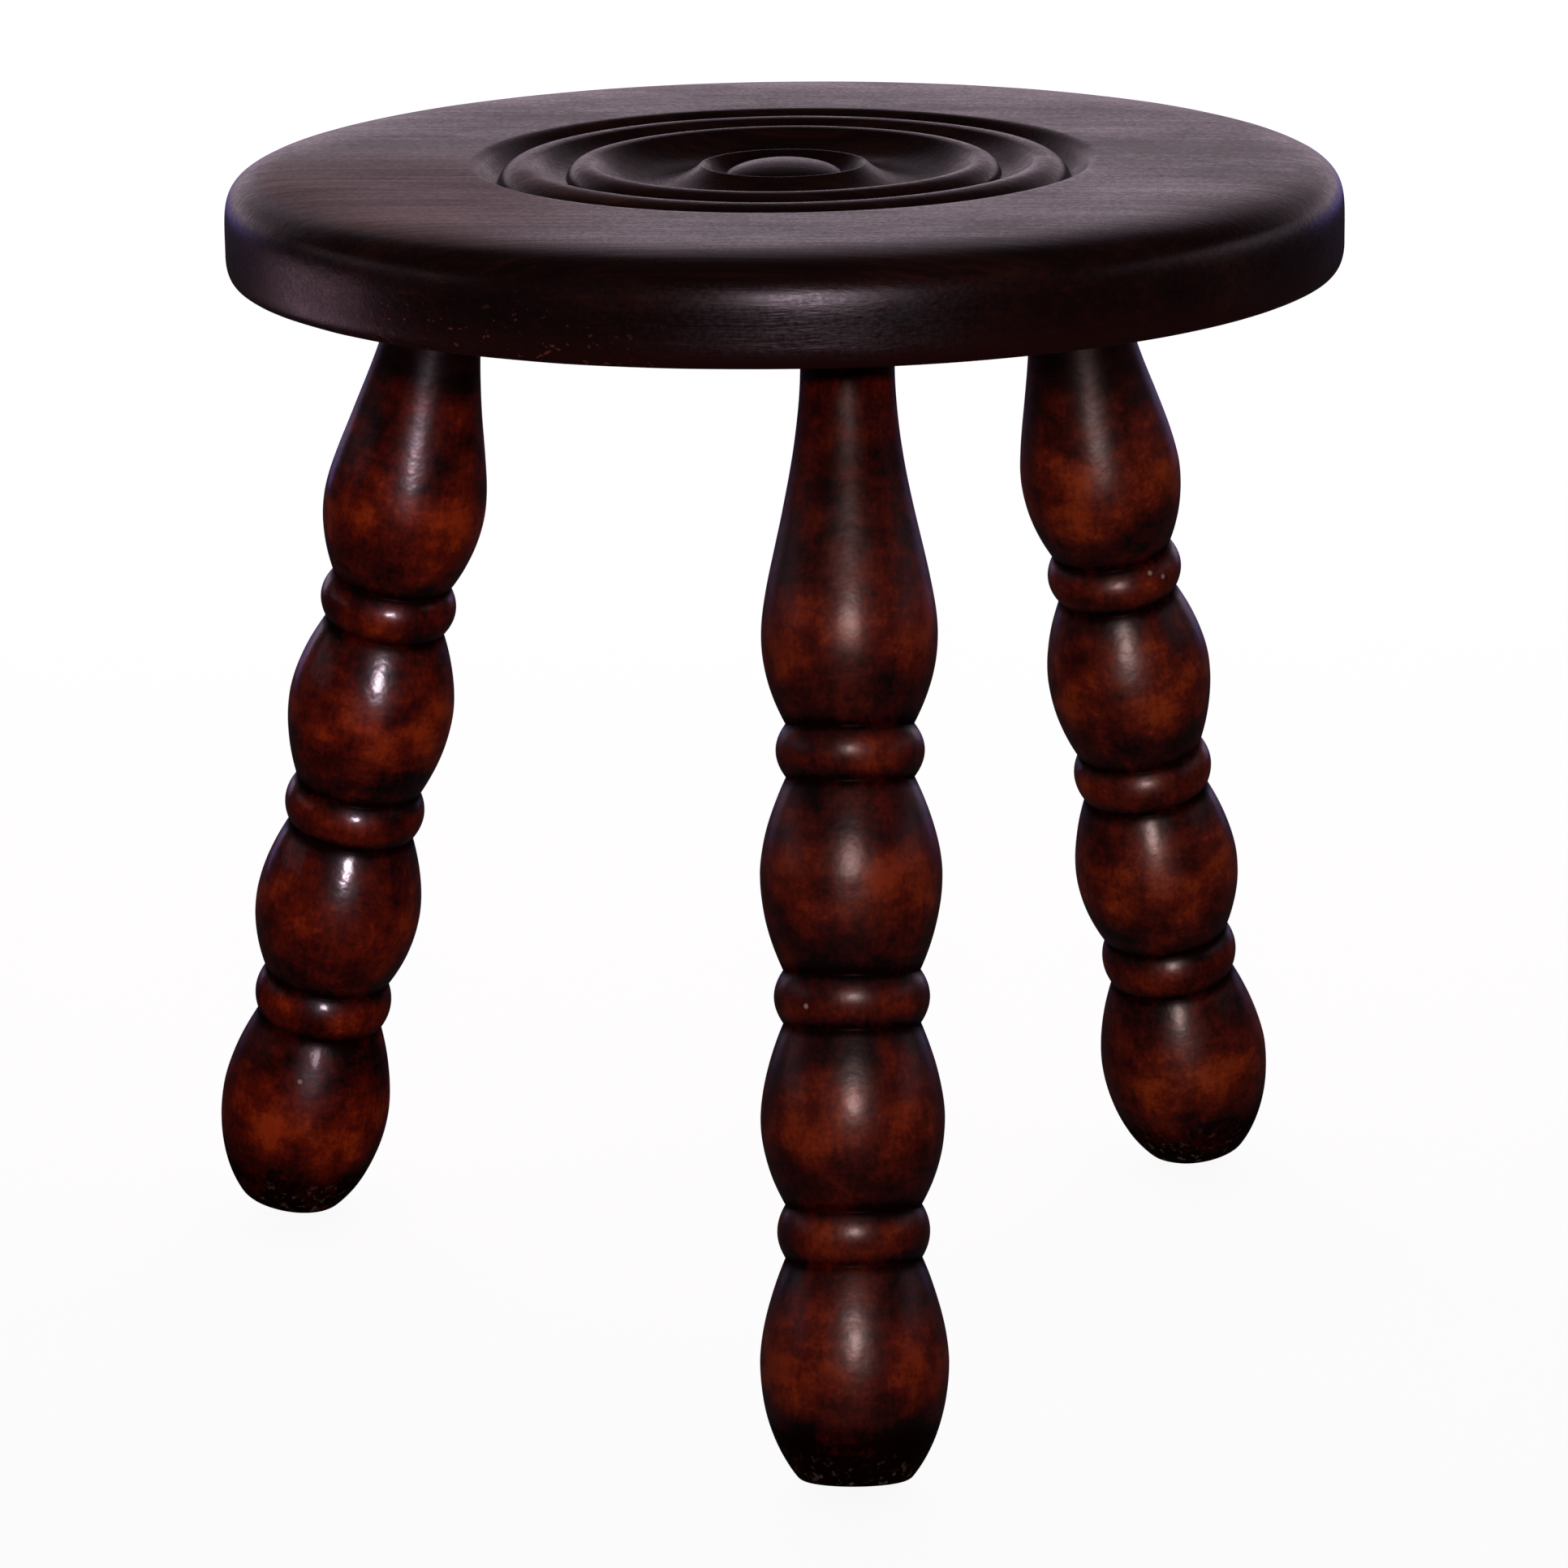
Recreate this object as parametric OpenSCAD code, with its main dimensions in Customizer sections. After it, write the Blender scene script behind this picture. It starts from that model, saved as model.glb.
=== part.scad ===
// Turned milking stool: a round seat of two glued boards on three splayed, baluster-turned legs.
// Origin on the floor under the centre of the seat, +Z up, front leg towards -Y, millimetres.

/* [Seat] */
// Diameter of the seat
seat_d = 300; // [280:1:330]
// Thickness of the seat boards
seat_t = 27.8; // [26:0.1:34]
// Height of the seat's top above the floor
stool_h = 317; // [314:1:322]
// Angle of the glued joint and of the grain to the X axis
grain_az = -13; // [-30:1:0]
// Distance of the glued joint from the centre of the seat, towards the front
joint_y = -30.5; // [-36:0.5:-10]

/* [Rim] */
// Width of the ring over which the top rolls over into the rim
roll_w = 46.7; // [30:0.1:50]
// Height of the rolled part of the rim
roll_h = 22.2; // [12:0.1:24]
// Squareness of the roll, where 2 is an ellipse and more is squarer
roll_power = 5.5; // [3:0.1:7]
// Width of the eased lower edge
ease_w = 2; // [1:0.1:3]
// Height of the eased lower edge
ease_h = 5.4; // [1:0.1:5.5]

/* [Mouldings] */
// Radius at which the flat top ends and the lip begins
lip_r = 84.5; // [83:0.1:88]
// Radius of the groove at the foot of the lip, and its depth
groove_1 = [76.8, 5.1]; // [1:0.1:80]
// Radius of the groove between the two rings, and its depth
groove_2 = [58.5, 4.5]; // [1:0.1:80]
// Radius of the groove round the button, and its depth
groove_3 = [16.8, 5.8]; // [1:0.1:80]
// Radius of the inner edge of the outer ring's crest
crest_1 = 67; // [65:0.1:69]
// Radius of the inner edge of the inner ring's crest
crest_2 = 50.8; // [48:0.1:52]
// Radius of the crater's crest round the button, and its depth
crest_3 = [22, 1.5]; // [1:0.1:80]
// Depth to which the bowl is hollowed below the line between its two crests
bowl_sag = 5.7; // [4:0.1:7]
// Depth of the button's top below the top of the seat
button_dip = 0.3; // [0:0.1:1]

/* [Legs] */
// Direction in which the front, left and right leg leave the seat, in degrees
leg_top_az = [-88.6, 151.6, 28.5]; // [-180:0.1:180]
// Direction in which the axis of the front, left and right leg meets the floor, in degrees
leg_foot_az = [-92.7, 146.9, 34.2]; // [-180:0.1:180]
// Distance of the front, left and right leg from the centre, at the seat's underside
leg_top_r = [99, 98.9, 96.2]; // [96:0.1:104]
// Distance from the centre at which the axis of the front, left and right leg meets the floor
leg_foot_r = [163.3, 164.2, 160.1]; // [140:0.1:180]

/* [Turning] */
// Radius of the neck
neck_r = 12; // [11:0.1:13]
// Distance of the four bulbs below the seat, along the leg
bulb_at = [77.4, 138.5, 200.9, 263.7]; // [70:0.1:270]
// Radius of the four bulbs
bulb_r = [22.6, 23.3, 23.6, 24.2]; // [21:0.1:25]
// Distance of the three beads below the seat, along the leg
bead_at = [107, 169.9, 230]; // [105:0.1:232]
// Radius of the three beads
bead_r = [19.1, 19.9, 19.6]; // [18:0.1:20.5]
// Radius at the bottom of the grooves beside each bead
groove_r = [16.5, 17.55, 17.55]; // [15:0.05:17.8]
// Distance from the middle of a bead to its grooves
bead_half = 6.8; // [5:0.1:8]
// Length over which the last bulb would close to a point
foot_length = 37.2; // [35:0.1:45]
// Length of a leg below the seat, to its end, which is square to its axis
leg_length = 293.9; // [293.6:0.1:295]
// Width and height over which the edge of the foot is rounded
foot_ease = [1.2, 1]; // [0.5:0.1:2]

/* [Joinery] */
// Depth of the blind mortises, along the leg
mortise_depth = 17; // [12:0.5:18]
// Gap left for glue round tenons and dowels
glue_gap = 0.1; // [0.05:0.05:0.2]
// Length of the fox wedges
wedge_length = 13; // [8:0.5:15]
// Thickness of a fox wedge at its thin and its thick end
wedge_t = [0.8, 3.6]; // [0.5:0.1:5]
// Radius of the dowels in the glued joint
dowel_r = 4; // [3:0.5:5]
// Length of the dowels
dowel_length = 40; // [30:1:50]
// Distance of the outer dowels from the middle one
dowel_pitch = 95; // [70:1:110]
// Height of the dowels above the underside of the seat
dowel_z = 12; // [9:0.5:14]

/* [Hidden] */
$fn = 96;

FRONT = 0;
LEFT = 1;
RIGHT = 2;
seat_r = seat_d / 2;
underside_z = stool_h - seat_t;
crest_width = 1;
crest_dip = 0.4;
crest_round = 0.2;
lip_run = 3.1;
lip_drop = 1.43;
foot_bulge = 0.26;
reach = 2 * seat_d;

seat_colour = [0.24, 0.17, 0.16];
leg_colour = [0.36, 0.13, 0.06];
inner_colour = [0.74, 0.58, 0.38];

// Points of a circular arc from p to q, without p itself; rise is its height over the chord,
// positive to the left of the way from p to q.
function arc(p, q, rise, steps = 8) =
    let (
        chord = norm(q - p),
        along = (q - p) / chord,
        across = [-along.y, along.x],
        half = 2 * atan(2 * abs(rise) / chord)
    )
    [
        for (i = [1 : steps])
            let (a = half * (2 * i / steps - 1))
            p + along * (chord / 2) * (1 + sin(a) / sin(half))
              + across * rise * (cos(a) - cos(half)) / (1 - cos(half))
    ];

// Half section of the button, from the centre to its foot.
function button_curve(steps = 10) =
    let (rise = groove_3[1] - button_dip)
    [
        for (i = [0 : steps])
            let (a = 90 * i / steps)
            [(groove_3[0] - 0.2) * sin(a), rise * cos(a) - groove_3[1]]
    ];

// Half section of the rolled rim, from the flat top to the rim's widest line.
function roll_curve(steps = 16) =
    let (p = 2 / roll_power)
    [
        for (i = [0 : steps])
            let (a = 90 * i / steps)
            [seat_r - roll_w * (1 - pow(sin(a), p)), -roll_h * (1 - pow(cos(a), p))]
    ];

// Half section of the eased lower edge, from the rim's widest line to the underside.
function ease_curve(steps = 5) = [
    for (i = [1 : steps])
        let (a = 90 * i / steps)
        [seat_r - ease_w * (1 - cos(a)), ease_h - seat_t - ease_h * sin(a)]
];

// Half section of the turned seat; z = 0 is its top.
function seat_section() =
    let (
        foot_3 = [groove_3[0], -groove_3[1]],
        crater_in = [crest_3[0] - crest_width / 2, -crest_3[1]],
        crater_out = [crest_3[0] + crest_width / 2, -crest_3[1]],
        inner_crest = [crest_2, -crest_dip],
        foot_2 = [groove_2[0], -groove_2[1]],
        outer_crest = [crest_1, -crest_dip],
        foot_1 = [groove_1[0], -groove_1[1]],
        lip_low = [lip_r - lip_run, -lip_drop]
    )
    concat(
        button_curve(),
        [foot_3],
        arc(foot_3, crater_in, -0.5, 5),
        arc(crater_in, crater_out, crest_round, 3),
        arc(crater_out, inner_crest, -bowl_sag, 16),
        arc(inner_crest, foot_2, 2.0, 9),
        arc(foot_2, outer_crest, -1.1, 8),
        arc(outer_crest, foot_1, 2.2, 9),
        arc(foot_1, lip_low, -0.35, 5),
        arc(lip_low, [lip_r, 0], 0.37, 5),
        roll_curve(),
        ease_curve(),
        [[0, -seat_t]]
    );

// The whole seat as it comes off the lathe.
module seat_blank() {
    translate([0, 0, stool_h])
        rotate_extrude()
            polygon(seat_section());
}

// Everything on one side of the glued joint: side is 1 for the back, -1 for the front.
module joint_side(side) {
    rotate([0, 0, grain_az])
        translate([-reach / 2, side > 0 ? joint_y : joint_y - reach, 0])
            cube([reach, reach, reach]);
}

// Points on a leg's axis, at the seat's underside and on the floor.
function leg_top(leg) = [
    leg_top_r[leg] * cos(leg_top_az[leg]), leg_top_r[leg] * sin(leg_top_az[leg]), underside_z
];
function leg_foot(leg) = [
    leg_foot_r[leg] * cos(leg_foot_az[leg]), leg_foot_r[leg] * sin(leg_foot_az[leg]), 0
];
function leg_run(leg) = leg_foot(leg) - leg_top(leg);
function leg_az(leg) = atan2(leg_run(leg).y, leg_run(leg).x);
function leg_splay(leg) = acos(-leg_run(leg).z / norm(leg_run(leg)));

// Places its children on a leg's axis: z = 0 is at the seat's underside and the foot is at -Z.
module on_leg(leg) {
    translate(leg_top(leg))
        rotate([0, -leg_splay(leg), leg_az(leg)])
            children();
}

// Half section of the neck, which swells into the first bulb along a cubic curve.
function neck_curve(steps = 14) =
    let (a = [neck_r, -9], b = [neck_r + 0.6, -39], c = [bulb_r[0], -63], d = [bulb_r[0], -bulb_at[0]])
    [
        for (i = [0 : steps])
            let (t = i / steps, u = 1 - t)
            a * u * u * u + b * 3 * u * u * t + c * 3 * u * t * t + d * t * t * t
    ];

// Half of a bulb or bead, from its crown to a groove; power 2 is a parabola.
function fall(crown_at, crown_r, foot_at, foot_r, power, steps = 7) = [
    for (i = [1 : steps])
        let (t = i / steps)
        [crown_r - (crown_r - foot_r) * pow(t, power), -crown_at - (foot_at - crown_at) * t]
];
function rise(foot_at, foot_r, crown_at, crown_r, power, steps = 7) = [
    for (i = [steps - 1 : -1 : 0])
        let (t = i / steps)
        [crown_r - (crown_r - foot_r) * pow(t, power), -crown_at - (foot_at - crown_at) * t]
];

// One bead with the bulb halves on both sides of it.
function bead_and_bulbs(i) =
    let (above = bead_at[i] - bead_half, below = bead_at[i] + bead_half)
    concat(
        fall(bulb_at[i], bulb_r[i], above, groove_r[i], 2),
        rise(above, groove_r[i], bead_at[i], bead_r[i], 2, 4),
        fall(bead_at[i], bead_r[i], below, groove_r[i], 2, 4),
        rise(below, groove_r[i], bulb_at[i + 1], bulb_r[i + 1], 1.75)
    );

// Radius of the last bulb, which closes as half an ellipse, at a distance below the seat.
function foot_r(at) = bulb_r[3] * cos(asin((at - bulb_at[3]) / foot_length));

// The last bulb below its crown, the rounded edge of the foot and its flat end.
function foot_curve(steps = 10) =
    let (side = leg_length - foot_ease[1] - bulb_at[3])
    concat(
        [
            for (i = [1 : steps])
                let (at = bulb_at[3] + side * sin(90 * i / steps))
                [foot_r(at), -at]
        ],
        arc(
            [foot_r(leg_length - foot_ease[1]), foot_ease[1] - leg_length],
            [foot_r(leg_length) - foot_ease[0], -leg_length],
            foot_bulge, 4
        ),
        [[0, -leg_length]]
    );

// Half section of a leg with its tenon.
function leg_section() = concat(
    [[0, mortise_depth - 0.5], [neck_r, mortise_depth - 0.5]],
    neck_curve(),
    [for (i = [0 : 2]) each bead_and_bulbs(i)],
    foot_curve()
);

// Solid of a fox wedge, thick end up; its broad faces look along the grain.
module wedge_shape(leg) {
    top = mortise_depth - 0.5;
    rotate([0, 0, grain_az - leg_az(leg)])
        intersection() {
            translate([0, 0, top - wedge_length])
                cylinder(r = neck_r, h = wedge_length);
            translate([0, neck_r, 0])
                rotate([90, 0, 0])
                    linear_extrude(2 * neck_r)
                        polygon([
                            [-wedge_t[0] / 2, top - wedge_length],
                            [wedge_t[0] / 2, top - wedge_length],
                            [wedge_t[1] / 2, top],
                            [-wedge_t[1] / 2, top]
                        ]);
        }
}

// One leg; the floor wears a small flat on the inner edge of its foot.
module leg(leg) {
    color(leg_colour)
        difference() {
            on_leg(leg)
                rotate_extrude()
                    polygon(leg_section());
            on_leg(leg)
                wedge_shape(leg);
            translate([-reach / 2, -reach / 2, -reach])
                cube([reach, reach, reach]);
        }
}

module wedge(leg) {
    color(inner_colour)
        on_leg(leg)
            wedge_shape(leg);
}

module mortise(leg) {
    on_leg(leg)
        translate([0, 0, -seat_t])
            cylinder(r = neck_r + glue_gap, h = mortise_depth + seat_t);
}

// Places its children on the joint, along a dowel's axis.
module on_dowel(place) {
    rotate([0, 0, grain_az])
        translate([place * dowel_pitch, joint_y, underside_z + dowel_z])
            rotate([-90, 0, 0])
                children();
}

module dowel(place) {
    color(inner_colour)
        on_dowel(place)
            translate([0, 0, -dowel_length / 2])
                cylinder(r = dowel_r, h = dowel_length);
}

module dowel_holes() {
    depth = dowel_length + 2;
    for (place = [-1 : 1])
        on_dowel(place)
            translate([0, 0, -depth / 2])
                cylinder(r = dowel_r + glue_gap, h = depth);
}

// One seat board: side is 1 for the back board, -1 for the front one; legs stand in it.
module seat_board(side, legs) {
    color(seat_colour)
        difference() {
            intersection() {
                seat_blank();
                joint_side(side);
            }
            for (leg = legs)
                mortise(leg);
            dowel_holes();
        }
}

seat_board(1, [LEFT, RIGHT]);  // seat_board_back
seat_board(-1, [FRONT]);  // seat_board_front
leg(FRONT);  // leg_front
leg(LEFT);  // leg_left
leg(RIGHT);  // leg_right
wedge(FRONT);  // wedge_front
wedge(LEFT);  // wedge_left
wedge(RIGHT);  // wedge_right
dowel(-1);  // dowel_left
dowel(0);  // dowel_middle
dowel(1);  // dowel_right
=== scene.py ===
"""Looks of the turned milking stool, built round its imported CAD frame."""

import math

import bmesh
import bpy
import numpy as np
from mathutils import Matrix, Vector, noise


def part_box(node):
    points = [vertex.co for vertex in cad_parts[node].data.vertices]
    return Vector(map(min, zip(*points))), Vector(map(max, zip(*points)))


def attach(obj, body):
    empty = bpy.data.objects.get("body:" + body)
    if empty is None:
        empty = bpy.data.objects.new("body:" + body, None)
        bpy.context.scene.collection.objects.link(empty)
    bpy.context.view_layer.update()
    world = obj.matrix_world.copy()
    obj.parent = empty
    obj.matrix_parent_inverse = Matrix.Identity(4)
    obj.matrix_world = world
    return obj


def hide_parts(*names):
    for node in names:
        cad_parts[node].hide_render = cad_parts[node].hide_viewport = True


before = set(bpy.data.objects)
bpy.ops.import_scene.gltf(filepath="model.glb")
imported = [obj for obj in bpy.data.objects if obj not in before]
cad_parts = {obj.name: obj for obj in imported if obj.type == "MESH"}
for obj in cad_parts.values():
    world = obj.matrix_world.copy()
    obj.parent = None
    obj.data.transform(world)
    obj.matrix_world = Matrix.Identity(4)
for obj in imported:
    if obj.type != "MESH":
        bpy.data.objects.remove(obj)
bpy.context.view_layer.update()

# ------------------------------------------------------------------ measures
# Lengths are in metres. Sizes inside a turned section are written in
# millimetres, as on a turner's drawing, and scaled by MM.
MM = 0.001

SEAT_LOW, SEAT_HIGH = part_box("seat_board_back")
SEAT_R = SEAT_HIGH.x
TOP_Z = SEAT_HIGH.z
UNDERSIDE_Z = SEAT_LOW.z
SEAT_T = (TOP_Z - UNDERSIDE_Z) / MM

# The grain's frame has its X along the grain; the glued joint lies along it at JOINT_Y.
GRAIN_AZ = math.radians(-13)
JOINT_Y = -30.5 * MM
GRAIN = Matrix.Rotation(GRAIN_AZ, 4, "Z")

# Rolled rim and eased lower edge in millimetres: width and height.
ROLL_W = 46.7
ROLL_H = 22.2
ROLL_POWER = 5.5
EASE_W = 2.0
EASE_H = 5.4

# Mouldings in millimetres: radius from the middle of the seat, or radius and depth.
LIP_R = 84.5
LIP_LOW = (81.4, 1.43)
GROOVE_1 = (76.8, 5.1)
GROOVE_2 = (58.5, 4.5)
GROOVE_3 = (16.8, 5.8)
CREST_1 = (67.0, 0.4)
CREST_2 = (50.8, 0.4)
CREST_3 = (22.0, 1.5)
CREST_3_HALF = 0.5
BUTTON_DIP = 0.3
BUTTON_GAP = 0.2

# Rise of each arc between them over its chord, in millimetres: a hollow's is negative.
COVE_3_RISE = -0.5
CREST_3_RISE = 0.2
DISH_RISE = -5.7
CREST_2_RISE = 2.0
COVE_2_RISE = -1.1
CREST_1_RISE = 2.2
COVE_1_RISE = -0.35
LIP_RISE = 0.37

# Legs, in the order of LEG_SIDES: azimuth in degrees and radius in millimetres,
# where the axis leaves the seat and where it meets the floor.
LEG_SIDES = ("front", "left", "right")
LEG_TOP_AZ = (-88.6, 151.6, 28.5)
LEG_TOP_R = (99.0, 98.9, 96.2)
LEG_FOOT_AZ = (-92.7, 146.9, 34.2)
LEG_FOOT_R = (163.3, 164.2, 160.1)

# Turning of the legs in millimetres: distance below the seat along the leg, and radius.
NECK_R = 12.0
NECK_FROM = 9.0
NECK_PULL = (39.0, 12.6)
SHOULDER_PULL = 63.0
BULBS = ((77.4, 22.6), (138.5, 23.3), (200.9, 23.6), (263.7, 24.2))
BEADS = ((107.0, 19.1), (169.9, 19.9), (230.0, 19.6))
GROOVE_R = (16.5, 17.55, 17.55)
BEAD_HALF = 6.8
FOOT_LENGTH = 37.2
FOOT_EASE = (1.2, 1.0)
FOOT_EASE_RISE = 0.26
LEG_LENGTH = 293.9
TENON = 16.5
TENON_CHAMFER = 0.6
BULB_STEPS = 34
BEAD_STEPS = 14
FOOT_STEPS = 32

# Joinery inside the seat, in millimetres.
MORTISE_R = 12.1
MORTISE_DEPTH = 17.0
DOWEL_HOLE_R = 4.1
DOWEL_HOLE_LENGTH = 42.0

# Number of sides of a turned piece.
SEAT_SEGMENTS = 384
LEG_SEGMENTS = 144

# Longest straight in a turned section, in millimetres.
SEAT_STEP = 2.0
LEG_STEP = 1.5

# Edges sharper than these, in degrees, stay crisp in the shading.
SEAT_CRISP = 40
LEG_CRISP = 50

# Hand wear and tool marks, in millimetres of height or radius.
TOP_WEAR_BROAD = 0.10
TOP_WEAR_FINE = 0.03
LEG_SWING = 0.16
LEG_DENTS = 0.06

# Height above the floor, in millimetres, up to which the feet have lost flecks of varnish.
FOOT_WEAR_H = 16

# Wear of the seat, in the frame of its grain: the middle of the patch of the top that
# is rubbed down to browner wood, and of the part of the rim that has lost flecks of stain,
# each with the distances where it begins to fade and where it is gone.
RUBBED_AT = (-0.112, -0.066, TOP_Z)
RUBBED_REACH = (0.050, 0.130)
CHIPPED_AT = (-0.085, -0.122, UNDERSIDE_Z + 0.006)
CHIPPED_REACH = (0.030, 0.085)

# Colours of the seat's stain by tone, from the darkest grain to the palest.
SEAT_STAIN = (
    (0.32, (0.0030, 0.0006, 0.0005)),
    (0.50, (0.0090, 0.0016, 0.0011)),
    (0.70, (0.030, 0.0075, 0.0040)),
)
LOW_RIM_STAIN = (0.030, 0.0050, 0.0040)
RUBBED_WOOD = (0.22, 0.058, 0.026)
CHIPPED_RIM = (0.17, 0.048, 0.024)

# Colours of the legs by tone, from the grooves to the crowns: stain, with painted shade at the dark
# end and painted light at the bright end.
LEG_STAIN_AND_SHADE = (
    (0.05, (0.008, 0.0007, 0.0004)),
    (0.30, (0.060, 0.0034, 0.0012)),
    (0.55, (0.17, 0.0115, 0.0022)),
    (0.85, (0.42, 0.0440, 0.0060)),
)
WORN_FOOT = (0.22, 0.15, 0.11)
CHIPPED_LEG = (0.55, 0.38, 0.30)

# Looks of each leg, in the order of LEG_SIDES: roughness of the varnish, share of the
# varnish lost on the last bulb, refractive index of the wood under the varnish, and
# what its stain is multiplied by.
LEG_GLOSS = (0.31, 0.18, 0.29)
LEG_SCUFFS = (0.0, 0.85, 0.3)
LEG_BODY = (1.38, 1.22, 1.34)
LEG_TINT = ((0.95, 0.90, 1.00), (1.45, 1.25, 0.90), (1.25, 1.35, 1.40))

# Chips in the varnish: leg, distance down it in millimetres and angle about its axis.
LEG_CHIPS = ((1, 248.4, 116.3), (0, 171.1, -35.3), (2, 105.4, -96.0), (2, 103.0, -108.0))
CHIP_REACH = (0.0004, 0.0009)

# How much of the red-brown shows along a leg, from 0 to 1, and how far in millimetres
# the red of a crown, the dark of a groove and the dark of the foot reach: partly the
# stain, partly painted light on the crowns and painted shade in the grooves and down the foot.
WARM_LEAST = 0.36
WARM_SLOPE = 0.25
WARM_NECK = 0.52
WARM_BEAD = 0.75
CROWN_REACH_UP = 17.0
CROWN_REACH_DOWN = 12.0
GROOVE_SHADE_REACH = 2.4
FOOT_SHADE_FROM = 6
FOOT_SHADE_OVER = 16

# The floor lies just under the feet, so that no foot shares a plane with it.
FLOOR_Z = -0.0003
FLOOR_HALF = 9
FLOOR_GLOW = 0.93

# What the camera sees past the floor, and the weak light that fills the shadows.
BACKDROP = (0.955, 0.955, 0.955, 1)
AMBIENT = (1.0, 0.8, 0.9, 1)
AMBIENT_STRENGTH = 0.022

# Lights: their colours, the height they aim at and their usual distance.
LAVENDER = (1.0, 0.78, 0.92)
BLUE = (0.40, 0.30, 1.0)
ROSE = (1.0, 0.60, 0.78)
PINK = (1.0, 0.70, 0.66)
WARM = (1.0, 0.95, 0.90)
LIGHT_AIM_Z = 0.25
FAR = 3.0
NEAR = 2.4

# The light seen in the varnish of each leg, in the order of LEG_SIDES: turn from the
# camera and elevation in degrees, radiance and colour.
LEG_KEYS = ((0.8, 19.5, 37, PINK), (4.5, 6.0, 88, LAVENDER), (2.5, 1.5, 44, PINK))
LEG_KEY_SIZE = (0.46, 0.34)

# Camera: its place and aim in a frame turned so that it stands at -Y.
CAMERA_TURN = math.radians(-7.642)
CAMERA_AT = Vector((0.0, -1.66652, 0.59640))
CAMERA_AIM = Vector((-0.0021, 0.0, 0.1431))
CAMERA_ROLL = math.radians(-0.75)
CAMERA_LENS = 144.03
CAMERA_SENSOR = 36


# ------------------------------------------------------------------ sections
def arc(start, end, rise, steps=10):
    """Points of an arc from start to end, without start; rise is its height over the chord."""
    p = np.array(start, float)
    q = np.array(end, float)
    chord = np.linalg.norm(q - p)
    along = (q - p) / chord
    across = np.array((-along[1], along[0]))
    half = 2 * math.atan(2 * abs(rise) / chord)
    points = []
    for i in range(1, steps + 1):
        a = half * (2 * i / steps - 1)
        step = (chord / 2) * (1 + math.sin(a) / math.sin(half))
        lift = rise * (math.cos(a) - math.cos(half)) / (1 - math.cos(half))
        points.append(tuple(p + along * step + across * lift))
    return points


def button_curve(steps=24):
    """The button, a quarter ellipse from the centre to its foot."""
    lift = GROOVE_3[1] - BUTTON_DIP
    foot = GROOVE_3[0] - BUTTON_GAP
    angles = [math.pi / 2 * i / steps for i in range(steps + 1)]
    return [(foot * math.sin(a), lift * math.cos(a) - GROOVE_3[1]) for a in angles]


def roll_curve(steps=64):
    """The rolled rim, a squarish quarter ellipse from the flat top to the widest line."""
    power = 2 / ROLL_POWER
    radius = SEAT_R / MM
    points = []
    for i in range(steps + 1):
        a = math.pi / 2 * i / steps
        run = ROLL_W * (1 - max(math.sin(a), 0) ** power)
        drop = ROLL_H * (1 - max(math.cos(a), 0) ** power)
        points.append((radius - run, -drop))
    return points


def ease_curve(steps=10):
    """The eased lower edge, from the widest line to the underside."""
    angles = [math.pi / 2 * i / steps for i in range(1, steps + 1)]
    radius = SEAT_R / MM
    return [
        (radius - EASE_W * (1 - math.cos(a)), EASE_H - SEAT_T - EASE_H * math.sin(a))
        for a in angles
    ]


def at_depth(point):
    """A radius and a depth as a section point, where the seat's top is at zero."""
    return point[0], -point[1]


def seat_section():
    """Half section of the turned seat in millimetres, from the button to the underside."""
    crater_in = (CREST_3[0] - CREST_3_HALF, -CREST_3[1])
    crater_out = (CREST_3[0] + CREST_3_HALF, -CREST_3[1])
    points = button_curve()
    points.append(at_depth(GROOVE_3))
    points += arc(at_depth(GROOVE_3), crater_in, COVE_3_RISE, 10)
    points += arc(crater_in, crater_out, CREST_3_RISE, 5)
    points += arc(crater_out, at_depth(CREST_2), DISH_RISE, 34)
    points += arc(at_depth(CREST_2), at_depth(GROOVE_2), CREST_2_RISE, 16)
    points += arc(at_depth(GROOVE_2), at_depth(CREST_1), COVE_2_RISE, 16)
    points += arc(at_depth(CREST_1), at_depth(GROOVE_1), CREST_1_RISE, 16)
    points += arc(at_depth(GROOVE_1), at_depth(LIP_LOW), COVE_1_RISE, 10)
    points += arc(at_depth(LIP_LOW), (LIP_R, 0), LIP_RISE, 8)
    points += roll_curve()
    points += ease_curve()
    points.append((0, -SEAT_T))
    return points


def refined(points, longest):
    """The same section with every straight longer than longest cut into equal parts."""
    result = [points[0]]
    for start, end in zip(points, points[1:]):
        parts = max(1, math.ceil(math.dist(start, end) / longest))
        for i in range(1, parts + 1):
            t = i / parts
            result.append((start[0] + (end[0] - start[0]) * t, start[1] + (end[1] - start[1]) * t))
    return result


def neck_curve(steps=60):
    """The neck, which swells into the first bulb along a cubic curve."""
    at, radius = BULBS[0]
    corners = ((NECK_R, NECK_FROM), NECK_PULL[::-1], (radius, SHOULDER_PULL), (radius, at))
    points = []
    for i in range(steps + 1):
        t = i / steps
        u = 1 - t
        weights = (u * u * u, 3 * u * u * t, 3 * u * t * t, t * t * t)
        r = sum(w * p[0] for w, p in zip(weights, corners))
        down = sum(w * p[1] for w, p in zip(weights, corners))
        points.append((r, -down))
    return points


def swell(crown, foot_at, foot_r, power, steps):
    """Half of a bulb or bead, from its crown to the groove beside it; a higher power is fuller."""
    points = []
    for i in range(steps + 1):
        t = i / steps
        r = crown[1] - (crown[1] - foot_r) * t ** power
        points.append((r, -crown[0] - (foot_at - crown[0]) * t))
    return points


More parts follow.
